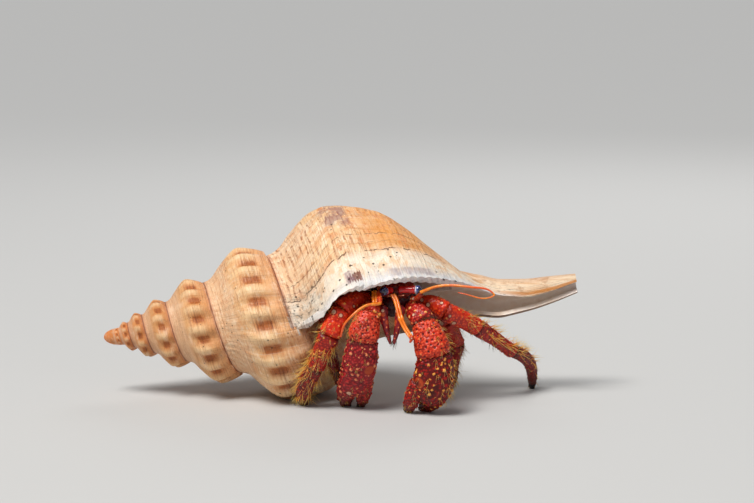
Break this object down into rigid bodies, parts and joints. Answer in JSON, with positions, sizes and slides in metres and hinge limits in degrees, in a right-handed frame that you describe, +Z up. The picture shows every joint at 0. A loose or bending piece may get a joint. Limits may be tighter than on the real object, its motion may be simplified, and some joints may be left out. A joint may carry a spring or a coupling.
{
  "type": "hermit crab in a spindle shell, museum model",
  "caption": "Life-size still model of a red hermit crab walking in a long knobbed spindle shell with an open canal.",
  "frame": {"origin": "middle of the model's whole box at floor level", "axes": "+X along the shell from its apex to its canal and to the crab's left, -Y the way the crab faces, +Z up"},
  "size_m": [0.1902, 0.0832, 0.0755],
  "materials": {
    "shell": "matt, chalky shell with a faint glaze at the mouth",
    "red_crust": "satin, pebbled limb crust",
    "dark_crust": "smooth and glossy dark red",
    "soft_skin": "soft, satin body skin",
    "feeler": "glossy orange",
    "cornea": "polished, nearly black blue",
    "bristle": "glossy straw-yellow bristle"
  },
  "bodies": {
    "root": {"shell": "shell", "cephalothorax": "red_crust", "abdomen": "soft_skin", "eyestalk_left": "dark_crust", "eye_left": "cornea", "antennule_left": "feeler", "antenna_base_left": "feeler", "eyestalk_right": "dark_crust", "eye_right": "cornea", "antennule_right": "feeler", "antenna_base_right": "feeler", "antenna_left": "feeler", "antenna_left_tip": "feeler", "antenna_right": "feeler", "maxilliped_left": "dark_crust", "leg4_left": "red_crust", "leg5_left": "red_crust", "maxilliped_right": "dark_crust", "leg4_right": "red_crust", "leg5_right": "red_crust", "claw_left_merus": "red_crust", "claw_left_carpus": "red_crust", "claw_left_palm": "red_crust", "claw_left_finger": "red_crust", "claw_right_merus": "red_crust", "claw_right_carpus": "red_crust", "claw_right_palm": "red_crust", "claw_right_finger": "red_crust", "leg2_left_merus": "red_crust", "leg2_left_carpus": "red_crust", "leg2_left_propodus": "red_crust", "leg2_left_dactyl": "red_crust", "leg2_right_merus": "red_crust", "leg2_right_carpus": "red_crust", "leg2_right_propodus": "red_crust", "leg2_right_dactyl": "red_crust", "leg3_left_merus": "red_crust", "leg3_left_carpus": "red_crust", "leg3_left_propodus": "red_crust", "leg3_left_dactyl": "red_crust", "leg3_right_merus": "red_crust", "leg3_right_carpus": "red_crust", "leg3_right_propodus": "red_crust", "leg3_right_dactyl": "red_crust"}
  },
  "joints": []
}
